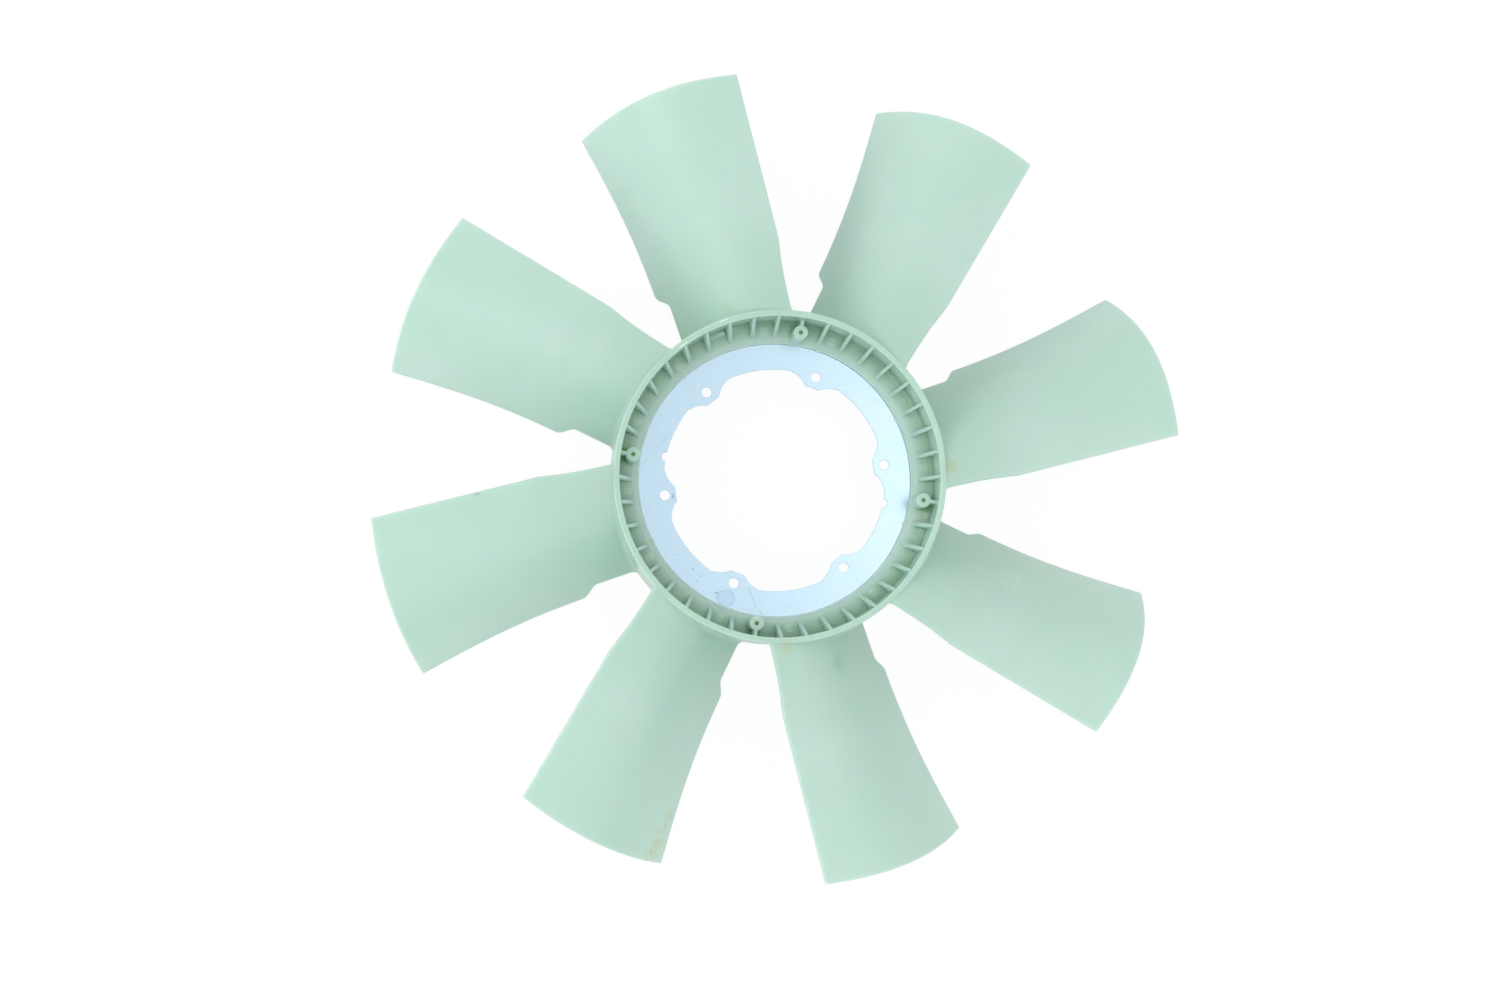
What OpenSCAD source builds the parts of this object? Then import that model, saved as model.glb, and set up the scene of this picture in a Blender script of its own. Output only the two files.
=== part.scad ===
// Engine cooling fan, eight moulded blades on a ribbed hub ring, with a steel
// mounting disc moulded into the hub. Millimetres. The origin is the centre of
// the disc's front face, +Z is the fan's axis towards the front.

/* [Blades] */
// Number of blades
blade_count = 8; // [5:1:9]
// Overall diameter over the blade tips
fan_d = 704; // [620:2:780]
// Height of the leading edge above the disc face
lead_z = 49.8; // [40:0.2:56]
// Depth of the trailing edge below the disc face
trail_z = 46.5; // [34:0.5:56]
// Depth of the trailing edge beside the hub
root_trail_z = 27.5; // [20:0.5:34]
// Radius at which the leading edge kinks
kink_r = 205; // [185:1:225]
// Radius at which the trailing edge reaches its full depth
step_r = 197; // [185:1:215]
// Radial length of the step in the trailing edge
step_len = 17; // [8:1:26]
// Lean of the straight leading edge from the radius, degrees
lead_lean = 14; // [6:0.5:20]
// Angle swept by the tip from leading to trailing edge, degrees
tip_sweep = 22.8; // [16:0.05:26]
// Extra sweep of the trailing edge beside the hub, degrees
root_sweep = 7.6; // [4:0.1:12]
// How late the section bends down at the tip: 1 is a straight section
tip_bend = 3.5; // [1:0.1:5]
// How late the section bends down at the hub
root_bend = 2.8; // [1:0.1:5]
// Share of the drop that is a straight slope from the leading edge
even_slope = 0.07; // [0:0.01:0.5]
// Blade thickness at the tip
tip_t = 4.4; // [3:0.1:7]
// Blade thickness near the hub
root_t = 5.4; // [4:0.1:8]
// Fillet where the faces of a blade join the hub
root_fillet = 5; // [2:0.5:7]
// Depth below the leading edge at which the root fillet reaches its full size
fillet_fade = 12; // [4:1:20]
// Turn of the first blade about the axis, degrees
blade_turn = 0; // [-20:1:20]

/* [Hub ring] */
// Outer radius of the hub ring
hub_r = 144.5; // [136:0.5:154]
// Wall of the hub ring
hub_wall = 5.4; // [4:0.2:8]
// Height of the rim above the disc face
rim_z = 50; // [42:0.5:58]
// Depth of the hub ring's rear edge below the disc face
rear_z = 28; // [24:0.5:40]
// Rounding of the rim and the rear edge
rim_round = 1.2; // [0.5:0.1:2.2]
// Radius of the plastic lip over the steel disc
lip_r = 120.3; // [112:0.1:126]
// Height of that lip above the disc face
lip_h = 2.6; // [1:0.1:5]
// Height of the sloping floor where it meets the wall
floor_z = 12.5; // [6:0.5:20]
// Rounding between floor and wall
floor_round = 3; // [1:0.5:5]
// Thickness of the plastic behind the steel disc
back_t = 4; // [2.5:0.5:8]
// Least plastic beyond the steel disc's edge
edge_cover = 4; // [2:0.5:6]
// Half-round nicks in the lip, left by the pins that held the disc in the mould
nick_count = 8; // [0:1:12]
// Radius of a nick
nick_r = 1.5; // [0.8:0.1:2.5]
// Angle of the first nick about the axis, degrees
nick_turn = 26.3; // [0:0.1:45]

/* [Ribs and bosses] */
// Rib places around the hub, bosses included
rib_places = 40; // [24:4:48]
// Screw bosses, spread evenly over the rib places
boss_count = 4; // [2:2:4]
// Rib thickness
rib_t = 3; // [1.5:0.1:4.5]
// Gap from the rim down to the top of a rib
rib_drop = 3; // [1:0.5:10]
// Radius of a rib's lower end
rib_end_r = 126; // [123:0.5:132]
// Height of a rib's lower end above the floor
rib_nose = 1; // [0.5:0.1:3]
// Level length at the top of a rib, beside the wall
rib_flat = 1; // [0.5:0.1:3]
// Radius of the circle through the screw bosses
boss_circle_r = 128.1; // [127:0.1:131]
// Height of a boss's top above the disc face
boss_top_z = 35.3; // [22:0.1:42]
// Diameter of a boss at its top
boss_d = 12.4; // [9:0.1:14]
// Growth of a boss's diameter down to its foot
boss_draft = 1.2; // [0:0.1:2]
// Rounding round the top of a boss
boss_round = 0.6; // [0.2:0.1:1.5]
// Diameter of a boss's screw hole
boss_hole_d = 3.7; // [2.5:0.1:6]
// Depth of a boss's screw hole
boss_hole_depth = 24; // [10:1:30]
// Angle of the first boss about the axis, degrees
boss_turn = -8.98; // [-45:0.01:45]
// Ejector pin pads on the floor
pad_count = 12; // [0:1:20]
// Diameter of an ejector pin pad
pad_d = 8; // [4:0.5:10]
// Height of a pad above the floor
pad_h = 0.4; // [0.2:0.1:1]

/* [Steel disc] */
// Thickness of the steel disc
disc_t = 4; // [2:0.25:6]
// Radius of the steel disc, inside the plastic
disc_r = 132; // [128:0.5:135]
// Radius of the central opening between the tabs
open_r = 98; // [90:0.1:104]
// Radius to the flat tip of a bolt tab
tab_r = 88.2; // [80:0.1:89]
// Width of the flat tip of a bolt tab
tab_w = 13; // [8:0.1:18]
// Radius of the fillets beside a bolt tab
tab_fillet = 21; // [14:0.5:23]
// Number of bolt tabs and bolt holes
bolt_count = 6; // [4:1:7]
// Diameter of the bolt circle
bolt_circle_d = 196; // [190:0.5:200]
// Diameter of a bolt hole
bolt_hole_d = 9; // [6:0.1:11]
// Angle of the first bolt hole about the axis, degrees
bolt_turn = 7.88; // [0:0.01:45]
// Radius of the two notches in the opening
notch_r = 4; // [2:0.1:5]
// Angle of the notches about the axis, degrees
notch_turn = -12; // [-20:0.1:20]

/* [Hidden] */
$fn = 96;

plastic_color = [0.71, 0.85, 0.77];
steel_color = [0.80, 0.88, 0.95];

// How deep a piece reaches into the one it grows from
bury = 1;

tip_r = fan_d / 2;
wall_in_r = hub_r - hub_wall;
bolt_circle_r = bolt_circle_d / 2;
rib_step = 360 / rib_places;
boss_every = rib_places / boss_count;

// Points of an arc from angle a0 to angle a1
function arc(cx, cy, r, a0, a1, steps) =
    [for (i = [0:steps]) let (a = a0 + (a1 - a0) * i / steps) [cx + r * cos(a), cy + r * sin(a)]];

// 0 below the first value, 1 above the second, smooth between
function smooth(x, x0, x1) =
    let (t = max(0, min(1, (x - x0) / (x1 - x0)))) t * t * (3 - 2 * t);

function mix(a, b, t) = a + (b - a) * t;

// Floor height of the hub at a radius
floor_slope = (floor_z - lip_h) / (wall_in_r - lip_r);
function floor_at(r) = lip_h + (r - lip_r) * floor_slope;

// Blade surface. A section lies on the cylinder of radius r, and is drawn in the
// plane got by unrolling it: x runs round the axis and z along it.

// How far out a radius lies: 0 at the hub ring, 1 at the tip
function reach(r) = (r - hub_r) / (tip_r - hub_r);

// The leading edge is straight from the tip to the kink, then curls to the hub
// by these two shares, in degrees
lead_miss = kink_r * sin(lead_lean);
function straight_lead(r) = lead_lean - asin(lead_miss / r);
curl_linear = 0.85;
curl_square = 3.25;
function lead_angle(r) =
    let (w = (kink_r - r) / (kink_r - hub_r))
    r > kink_r ? straight_lead(r) : straight_lead(kink_r) - curl_linear * w - curl_square * w * w;

// The trailing edge, as it would run at its full depth
trail_power = 3.25;
function trail_angle(r) =
    straight_lead(tip_r) + tip_sweep + root_sweep * pow(max(0, 1 - reach(r)), trail_power);

// Thickness along a section: less at the trailing edge
trail_thinning = 0.35;
function thick_at(r, s) = mix(root_t, tip_t, reach(r)) * (1 - trail_thinning * s * s);

// Front face of the full section: s is 0 at the leading edge and 1 at the trailing edge
function face_start(r) = thick_at(r, 0) / 2;
function face_run(r) = r * (trail_angle(r) - lead_angle(r)) * PI / 180 - face_start(r);
face_drop = lead_z + trail_z;
function bend(r) = mix(root_bend, tip_bend, reach(r));
function drop_share(r, s) = even_slope * s + (1 - even_slope) * pow(s, bend(r));
function face(r, s) = [face_start(r) + face_run(r) * s, lead_z - face_drop * drop_share(r, s)];
function heading(r, s) = -atan(face_drop / face_run(r)
    * (even_slope + (1 - even_slope) * bend(r) * pow(s, bend(r) - 1)));

// How much of the full section is left by the step beside the hub
function depth_at(r) = lead_z + mix(root_trail_z, trail_z, smooth(r, step_r - step_len, step_r));
function share_with_drop(r, drop, lo = 0, hi = 1, tries = 14) =
    let (mid = (lo + hi) / 2)
    tries == 0 ? mid
    : face_drop * drop_share(r, mid) < drop ? share_with_drop(r, drop, mid, hi, tries - 1)
    : share_with_drop(r, drop, lo, mid, tries - 1);

// Outline of one section: front face, round trailing edge, back face, round leading edge.
// A point beside the face lies at a depth below it, measured along the normal. In the
// fillet at the hub the outline grows, less at its two round edges than on its faces.
face_steps = 9;
nose_steps = 4;
nose_growth = 0.3;
function beside(r, s, depth) =
    let (p = face(r, s), h = heading(r, s) + 90)
    [p[0] - depth * cos(h), p[1] - depth * sin(h)];
function front_growth(r, s, grow) =
    grow * smooth(face_drop * drop_share(r, s), 0, fillet_fade);
function around(r, s, turn, grow) =
    let (t = thick_at(r, s) / 2, m = beside(r, s, t), h = heading(r, s),
        beyond = sin(turn) > 0 ? front_growth(r, s, grow) : grow,
        along = (t + nose_growth * grow) * cos(turn), across = (t + beyond) * sin(turn))
    [m[0] + along * cos(h) - across * sin(h), m[1] + along * sin(h) + across * cos(h)];
function section(r, grow) =
    let (s1 = share_with_drop(r, depth_at(r) - thick_at(r, 1) / 2)) concat(
        [for (i = [0:face_steps]) let (s = s1 * i / face_steps) beside(r, s, -front_growth(r, s, grow))],
        [for (i = [1:nose_steps - 1]) around(r, s1, 90 - 180 * i / nose_steps, grow)],
        [for (i = [face_steps:-1:0]) let (s = s1 * i / face_steps) beside(r, s, thick_at(r, s) + grow)],
        [for (i = [1:nose_steps - 1]) around(r, 0, -90 - 180 * i / nose_steps, grow)]);

// A section rolled back onto its cylinder, and kept below the rim
function rolled(r, grow) =
    [for (p = section(r, grow))
        let (a = lead_angle(r) + p[0] / r * 180 / PI)
        [r * cos(a), r * sin(a), min(p[1], lead_z)]];

// Radius and growth of each section: close together in the fillet and at the step,
// wider outside. None lies on the hub's own surface, where it would leave slivers.
root_bury = hub_wall / 2;
fillet_turns = [66, 44, 22, 0];
fillet_rings = [for (a = fillet_turns) [hub_r + root_fillet * (1 - sin(a)), root_fillet * (1 - cos(a))]];
stations = concat(
    [[hub_r - root_bury, fillet_rings[0][1]]],
    fillet_rings,
    [for (i = [1:3]) [mix(hub_r + root_fillet, step_r - step_len, i / 4), 0]],
    [for (i = [0:4]) [step_r - step_len + step_len * i / 4, 0]],
    [for (i = [1:7]) [mix(step_r, tip_r, i / 7), 0]]);

module blade() {
    rings = [for (at = stations) rolled(at[0], at[1])];
    n = len(rings[0]);
    last = len(rings) - 1;
    sides = [for (k = [0:last - 1], i = [0:n - 1])
        let (j = (i + 1) % n, a = k * n, b = (k + 1) * n)
        each [[a + i, b + i, b + j], [a + i, b + j, a + j]]];
    // Each end is closed by a strip across the section, from front to back face
    strip = [for (i = [0:face_steps - 1])
        let (f = i, g = i + 1, h = 2 * face_steps + nose_steps - 1 - i, k = h + 1)
        each [[f, g, h + 0], [f, h + 0, k]]];
    trail_nose = [for (i = [1:nose_steps - 1]) [face_steps, face_steps + i, face_steps + i + 1]];
    lead_first = 2 * face_steps + nose_steps;
    lead_nose = [for (i = [1:nose_steps - 1])
        [lead_first, lead_first + i, (lead_first + i + 1) % n]];
    cap = concat(strip, trail_nose, lead_nose);
    polyhedron(
        points = [for (ring = rings) each ring],
        faces = concat(
            sides,
            [for (f = cap) [f[0], f[2], f[1]]],
            [for (f = cap) [last * n + f[0], last * n + f[1], last * n + f[2]]]));
}

// Half section of the hub ring: x is the radius, y the height
module hub_section() {
    floor_tilt = atan(floor_slope);
    // Centre of the rounding between the sloping floor and the wall
    round_x = wall_in_r - floor_round;
    round_y = floor_at(round_x) + floor_round / cos(floor_tilt);
    polygon(concat(
        [[lip_r, -disc_t - back_t], [lip_r, lip_h]],
        arc(round_x, round_y, floor_round, floor_tilt - 90, 0, 4),
        arc(wall_in_r + rim_round, rim_z - rim_round, rim_round, 180, 90, 4),
        arc(hub_r - rim_round, rim_z - rim_round, rim_round, 90, 0, 4),
        arc(hub_r - rim_round, -rear_z + rim_round, rim_round, 0, -90, 4),
        arc(wall_in_r + rim_round, -rear_z + rim_round, rim_round, -90, -180, 4),
        arc(wall_in_r - floor_round, -disc_t - back_t - floor_round, floor_round, 0, 90, 4)));
    // Plastic that wraps the disc's edge
    translate([lip_r, -disc_t - back_t])
        square([disc_r + edge_cover - lip_r, back_t + disc_t + lip_h]);
}

// Upright gusset from the floor to just under the rim
module rib_plan_2d() {
    translate([rib_end_r + rib_t / 2, 0])
        circle(d = rib_t);
    translate([rib_end_r + rib_t / 2, -rib_t / 2])
        square([wall_in_r + bury - rib_end_r - rib_t / 2, rib_t]);
}

module rib() {
    foot = floor_at(rib_end_r);
    intersection() {
        rotate([90, 0, 0])
            translate([0, 0, -rib_t])
                linear_extrude(2 * rib_t)
                    polygon([
                        [rib_end_r - bury, foot - bury],
                        [rib_end_r - bury, foot + rib_nose],
                        [rib_end_r, foot + rib_nose],
                        [wall_in_r - rib_flat, rim_z - rib_drop],
                        [wall_in_r + 2 * bury, rim_z - rib_drop],
                        [wall_in_r + 2 * bury, foot - bury]]);
        translate([0, 0, foot - 2 * bury])
            linear_extrude(rim_z)
                rib_plan_2d();
    }
}

// Screw boss, tied to the wall by a rib as high as itself
module boss() {
    foot = floor_at(boss_circle_r - boss_d / 2) - bury;
    translate([boss_circle_r, 0, 0])
        rotate_extrude()
            polygon(concat(
                [[0, foot], [(boss_d + boss_draft) / 2, foot]],
                arc(boss_d / 2 - boss_round, boss_top_z - boss_round, boss_round, 0, 90, 3),
                [[0, boss_top_z]]));
    translate([boss_circle_r, -rib_t / 2, foot])
        cube([wall_in_r - boss_circle_r + bury, rib_t, boss_top_z - foot]);
}

module boss_hole() {
    translate([boss_circle_r, 0, boss_top_z - boss_hole_depth])
        cylinder(d = boss_hole_d, h = boss_hole_depth + bury);
}

// Flat round pad that an ejector pin leaves on the sloping floor
module pad() {
    pad_r = (lip_r + wall_in_r) / 2;
    translate([pad_r, 0, lip_h / 2])
        cylinder(d = pad_d, h = floor_at(pad_r) + pad_h - lip_h / 2);
}

// Nick in the lip, down to the steel
module nick() {
    translate([lip_r, 0, -disc_t / 2])
        cylinder(r = nick_r, h = disc_t / 2 + floor_at(lip_r + nick_r) + bury);
}

module at_bosses() {
    for (i = [0:boss_count - 1])
        rotate([0, 0, boss_turn + i * 360 / boss_count])
            children();
}

module fan_moulding() {
    color(plastic_color)
    difference() {
        union() {
            rotate_extrude()
                hub_section();
            for (i = [0:blade_count - 1])
                rotate([0, 0, blade_turn + i * 360 / blade_count])
                    blade();
            for (i = [0:rib_places - 1])
                if (i % boss_every != 0)
                    rotate([0, 0, boss_turn + i * rib_step])
                        rib();
            at_bosses()
                boss();
            for (i = [0:pad_count - 1])
                rotate([0, 0, boss_turn + (i * rib_places / pad_count + 0.5) * rib_step])
                    pad();
        }
        at_bosses()
            boss_hole();
        for (i = [0:nick_count - 1])
            rotate([0, 0, nick_turn + i * 360 / nick_count])
                nick();
        disc_blank();
    }
}

// Opening of the disc: a circle that six bolt tabs reach into
tip_a = asin(tab_w / 2 / tab_r);
corner_r = tab_r / cos(tip_a);
fillet_at_r = open_r - tab_fillet;
fillet_a = tip_a + acos((fillet_at_r * fillet_at_r + corner_r * corner_r - tab_fillet * tab_fillet)
    / (2 * fillet_at_r * corner_r));

module tab_2d() {
    outside = open_r / cos(fillet_a) + 1;
    difference() {
        polygon([
            [corner_r * cos(tip_a), -corner_r * sin(tip_a)],
            [corner_r * cos(tip_a), corner_r * sin(tip_a)],
            [outside * cos(fillet_a), outside * sin(fillet_a)],
            [outside * cos(fillet_a), -outside * sin(fillet_a)]]);
        for (side = [-1, 1])
            rotate(side * fillet_a)
                translate([fillet_at_r, 0])
                    circle(tab_fillet);
    }
}

module at_bolts() {
    for (i = [0:bolt_count - 1])
        rotate(bolt_turn + i * 360 / bolt_count)
            children();
}

module disc_edge_2d() {
    circle(disc_r, $fn = 180);
}

module disc_2d() {
    difference() {
        disc_edge_2d();
        difference() {
            circle(open_r, $fn = 180);
            at_bolts()
                tab_2d();
        }
        at_bolts()
            translate([bolt_circle_r, 0])
                circle(d = bolt_hole_d, $fn = 48);
        for (turn = [0, 180])
            rotate(notch_turn + turn)
                translate([open_r, 0])
                    circle(notch_r, $fn = 48);
    }
}

// The disc as one full round plate, which the moulding's seat is cut with
module disc_blank() {
    translate([0, 0, -disc_t])
        linear_extrude(disc_t)
            disc_edge_2d();
}

module steel_mounting_disc() {
    color(steel_color)
    translate([0, 0, -disc_t])
        linear_extrude(disc_t)
            disc_2d();
}

fan_moulding();
steel_mounting_disc();
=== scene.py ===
# %% [markdown]
# # Engine cooling fan
# A truck engine's fan is one big injection moulding: eight pitched blades on a
# ribbed ring, shot round a flat steel disc that bolts to the clutch. This file
# takes the imported CAD model as its frame. It models the moulding again with the
# fine roundings that light shows up, and gives a clean copy of the steel disc
# rounded edges. Both get their materials first, with the marks of handling and
# some painted light and shade.

# %% Load the imported model
import math

import bmesh
import bpy
from mathutils import Matrix, Vector


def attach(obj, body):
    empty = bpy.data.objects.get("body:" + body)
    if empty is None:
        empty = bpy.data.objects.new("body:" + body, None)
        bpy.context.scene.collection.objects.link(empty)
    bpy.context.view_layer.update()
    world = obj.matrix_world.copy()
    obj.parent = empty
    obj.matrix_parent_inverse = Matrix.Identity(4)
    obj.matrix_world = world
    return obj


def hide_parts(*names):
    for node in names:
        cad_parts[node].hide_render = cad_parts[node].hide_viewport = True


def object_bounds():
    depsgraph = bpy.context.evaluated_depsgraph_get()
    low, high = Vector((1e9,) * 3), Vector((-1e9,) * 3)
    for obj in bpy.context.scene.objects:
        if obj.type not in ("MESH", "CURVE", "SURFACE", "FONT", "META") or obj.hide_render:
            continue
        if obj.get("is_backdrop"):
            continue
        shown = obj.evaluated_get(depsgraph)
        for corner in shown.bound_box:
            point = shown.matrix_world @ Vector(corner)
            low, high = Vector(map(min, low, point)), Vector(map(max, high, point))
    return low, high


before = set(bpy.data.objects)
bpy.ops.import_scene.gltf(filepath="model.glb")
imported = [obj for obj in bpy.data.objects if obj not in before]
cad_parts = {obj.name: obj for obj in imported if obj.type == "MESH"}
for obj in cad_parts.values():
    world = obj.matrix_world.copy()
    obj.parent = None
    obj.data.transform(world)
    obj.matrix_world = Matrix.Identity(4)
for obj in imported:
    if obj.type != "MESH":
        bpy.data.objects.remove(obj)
cad_low, cad_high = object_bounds()
print("CAD box, metres:", tuple(cad_low), tuple(cad_high))

# %% [markdown]
# ## Sizes
# The sizes are the CAD model's own, in millimetres, and each piece is scaled to
# metres when its mesh is finished. Blender works in metres, but a moulding is
# easier to think about in millimetres.

# %% Sizes of the ring in millimetres
MM = 0.001

# Outer radius and wall, front rim, rear edge, and the rounding of both edges
HUB_R, HUB_WALL = 144.5, 5.4
WALL_R = HUB_R - HUB_WALL
RIM_Z, REAR_Z, RIM_ROUND = 50.0, -28.0, 1.2

# The lip over the steel, the level land beside it, and the floor up to the wall
LIP_R, LIP_H, LIP_ROUND = 120.3, 2.6, 0.4
LAND_R, LAND_ROUND = 122.2, 2.0
FLOOR_Z, FLOOR_ROUND = 12.5, 3.0
FLOOR_SLOPE = (FLOOR_Z - LIP_H) / (WALL_R - LAND_R)

# The steel disc inside the plastic, and the plastic behind it
DISC_R, DISC_T, BACK_T = 132.0, 4.0, 4.0


def floor_at(radius):
    """Height of the floor inside the ring: level at the lip, then sloping."""
    return LIP_H + max(0.0, radius - LAND_R) * FLOOR_SLOPE


print("floor rises", round(math.degrees(math.atan(FLOOR_SLOPE)), 1), "degrees to the wall")

# %% [markdown]
# ## Two small helpers
# Every form ends as an object at the origin, with its place in its mesh. A form
# that is repeated round the axis is made once and turned into place as often as
# the real moulding has it.

# %% Helpers for meshes
def as_object(name, bm):
    """Turn a closed bmesh, with its faces pointing outwards, into an object."""
    bmesh.ops.recalc_face_normals(bm, faces=bm.faces)
    open_edges = sum(not e.is_manifold for e in bm.edges)
    print(name, "has", len(bm.faces), "faces and", open_edges, "open edges")
    mesh = bpy.data.meshes.new(name)
    bm.to_mesh(mesh)
    bm.free()
    piece = bpy.data.objects.new(name, mesh)
    bpy.context.scene.collection.objects.link(piece)
    return piece


def turned_copies(name, bm, angles):
    """An object that holds the bmesh once for each angle in degrees."""
    bmesh.ops.recalc_face_normals(bm, faces=bm.faces)
    single = bpy.data.meshes.new("single")
    bm.to_mesh(single)
    bm.clear()
    for angle in angles:
        old = set(bm.verts)
        bm.from_mesh(single)
        new = [v for v in bm.verts if v not in old]
        bmesh.ops.rotate(bm, verts=new,
                         matrix=Matrix.Rotation(math.radians(angle), 3, "Z"))
    bpy.data.meshes.remove(single)
    return as_object(name, bm)


# %% [markdown]
# ## Materials
# A colour picked on screen is an sRGB value, and Blender's sockets want linear
# light, so one function turns the one into the other. A second adds a shader
# node with its settings and links in one call.

# %% Helpers for materials
def linear(hex_colour, alpha=1.0):
    """Turn an sRGB hex colour into linear RGBA."""
    parts = [int(hex_colour[i:i + 2], 16) / 255 for i in (1, 3, 5)]
    return tuple(c / 12.92 if c <= 0.04045 else ((c + 0.055) / 1.055) ** 2.4
                 for c in parts) + (alpha,)


def add_node(tree, kind, inputs=None, **settings):
    """Add a node, set its properties, and fill or link its inputs."""
    node = tree.nodes.new(kind)
    for key, value in settings.items():
        setattr(node, key, value)
    for key, value in (inputs or {}).items():
        if isinstance(value, bpy.types.NodeSocket):
            tree.links.new(value, node.inputs[key])
        else:
            node.inputs[key].default_value = value
    return node


def new_material(name):
    """An empty node material with its shader and the object's coordinates."""
    material = bpy.data.materials.new(name)
    material.use_nodes = True
    tree = material.node_tree
    tree.nodes.clear()
    shader = add_node(tree, "ShaderNodeBsdfPrincipled")
    add_node(tree, "ShaderNodeOutputMaterial", {"Surface": shader.outputs["BSDF"]})
    place = add_node(tree, "ShaderNodeTexCoord").outputs["Object"]
    return material, tree, shader, place


# %% [markdown]
# ### Colours laid over one another
# A real surface is one colour with others over it: deeper plastic, dirt, rubs.
# Painted light and shade are laid over it in the same way.
# They could be painted on a picture, but that needs an unwrapped mesh. Here each
# one is a mask worked out from the place on the object, which stays sharp at any
# distance. A mask is 1 where the colour lies and 0 elsewhere.

# %% Lay a colour over what is under it
def where_all(tree, first, *others):
    """A mask that is 1 where every one of the given masks is."""
    for other in others:
        first = add_node(tree, "ShaderNodeMath", {0: first, 1: other},
                         operation="MULTIPLY").outputs[0]
    return first


def painted(tree, under, mask, amount, colour):
    """The colour laid over what is under it, where the mask says so."""
    part = add_node(tree, "ShaderNodeMath", {0: mask, 1: amount}, operation="MULTIPLY")
    return add_node(tree, "ShaderNodeMix", {
        "Factor": part.outputs[0], 6: under, 7: linear(colour)}, data_type="RGBA").outputs[2]


# %% [markdown]
# ### Marks of handling
# A used-looking surface has a few marks, each in its own place. A blot is round,
# and a scratch follows a straight line. Both are a distance from a place on the
# object, turned into a mask that fades out. Places are in millimetres, like the
# rest of the model, and a noise with spots of 4 mm pushes them about so that no
# edge is clean.

# %% Masks for marks
def ragged_place(tree, place, size):
    """Object coordinates pushed about by up to half the size, in millimetres."""
    noise = add_node(tree, "ShaderNodeTexNoise", {
        "Vector": place, "Scale": 260.0, "Detail": 3.0})
    centred = add_node(tree, "ShaderNodeVectorMath", {
        0: noise.outputs["Color"], 1: (0.5, 0.5, 0.5)}, operation="SUBTRACT")
    push = add_node(tree, "ShaderNodeVectorMath", {
        0: centred.outputs[0], "Scale": size * MM}, operation="SCALE")
    return add_node(tree, "ShaderNodeVectorMath", {
        0: place, 1: push.outputs[0]}, operation="ADD").outputs[0]


def blot(tree, place, spot, reach, fade):
    """1 within the reach of a spot, and 0 beyond the fade."""
    gap = add_node(tree, "ShaderNodeVectorMath", {
        0: place, 1: tuple(MM * c for c in spot)}, operation="DISTANCE")
    return add_node(tree, "ShaderNodeMapRange", {
        "Value": gap.outputs["Value"], "From Min": (reach + fade) * MM,
        "From Max": reach * MM}).outputs[0]


def scratch(tree, place, start, end, width):
    """1 on the line from start to end, and 0 beyond its width."""
    a, b = Vector(start) * MM, Vector(end) * MM
    run = b - a
    offset = add_node(tree, "ShaderNodeVectorMath", {
        0: place, 1: tuple(a)}, operation="SUBTRACT")
    along = add_node(tree, "ShaderNodeVectorMath", {
        0: offset.outputs[0], 1: tuple(run / run.length_squared)}, operation="DOT_PRODUCT")
    share = add_node(tree, "ShaderNodeMath", {
        0: along.outputs["Value"], 1: 0.0}, operation="ADD", use_clamp=True)
    nearest = add_node(tree, "ShaderNodeVectorMath", {
        0: tuple(run), "Scale": share.outputs[0]}, operation="SCALE")
    gap = add_node(tree, "ShaderNodeVectorMath", {
        0: offset.outputs[0], 1: nearest.outputs[0]}, operation="DISTANCE")
    return add_node(tree, "ShaderNodeMapRange", {
        "Value": gap.outputs["Value"], "From Min": width * MM, "From Max": 0.0}).outputs[0]


# %% [markdown]
# ### Moulded polyamide
# Fan blades are glass-filled nylon. The resin is a pale mint green that goes
# yellower and deeper where light has to bounce, and the glass leaves a faint
# cloudy flow pattern. The steel mould is satin, so the skin has a soft gloss
# with a very fine grain. The clouds are about 60 mm across and the grain about
# 0.3 mm; the grain is drawn at 1.5 mm here, as finer would not show.

# %% Moulded polyamide: the resin
polyamide, tree, shader, place = new_material("glass_filled_polyamide")
shader.inputs["IOR"].default_value = 1.53
shader.inputs["Subsurface Weight"].default_value = 1.0
shader.inputs["Subsurface Radius"].default_value = (0.9, 1.0, 0.7)
shader.inputs["Subsurface Scale"].default_value = 0.006

clouds = add_node(tree, "ShaderNodeTexNoise", {
    "Vector": place, "Scale": 16.0, "Detail": 3.0, "Roughness": 0.55})
colour = add_node(tree, "ShaderNodeMix", {
    "Factor": clouds.outputs["Fac"], 6: linear("#C0DED4"), 7: linear("#CCE4DE")},
    data_type="RGBA").outputs[2]

# %% [markdown]
# ### Painted shade in the pockets, and deeper roots
# Light that has bounced between green walls comes back yellower and darker than
# a render's few bounces make it. So the pockets between the ribs and the corner
# under the wall get painted shade, a deeper and yellower green, and the thick
# blade roots get a little more colour. How far a point is from the axis, and how
# high it is above the steel, says where it is.

# %% Moulded polyamide: painted shade in pockets and corner, deeper roots
flat = add_node(tree, "ShaderNodeVectorMath", {0: place, 1: (1, 1, 0)},
                operation="MULTIPLY").outputs[0]
radius = add_node(tree, "ShaderNodeVectorMath", {0: flat}, operation="LENGTH").outputs["Value"]
height = add_node(tree, "ShaderNodeSeparateXYZ", {0: place}).outputs["Z"]

# Painted shade in the pockets between the ribs
inside = add_node(tree, "ShaderNodeMath", {0: radius, 1: (WALL_R + 0.4) * MM},
                  operation="LESS_THAN").outputs[0]
inward = add_node(tree, "ShaderNodeMapRange", {
    "Value": radius, "From Min": 122 * MM, "From Max": 137 * MM}).outputs[0]
deep = add_node(tree, "ShaderNodeMapRange", {
    "Value": height, "From Min": 27 * MM, "From Max": 13 * MM}).outputs[0]
pocket_shade = where_all(tree, inside, deep, inward)
colour = painted(tree, colour, pocket_shade, 0.7, "#9CC2A4")

# Painted shade, darker still, in the corner under the wall
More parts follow.
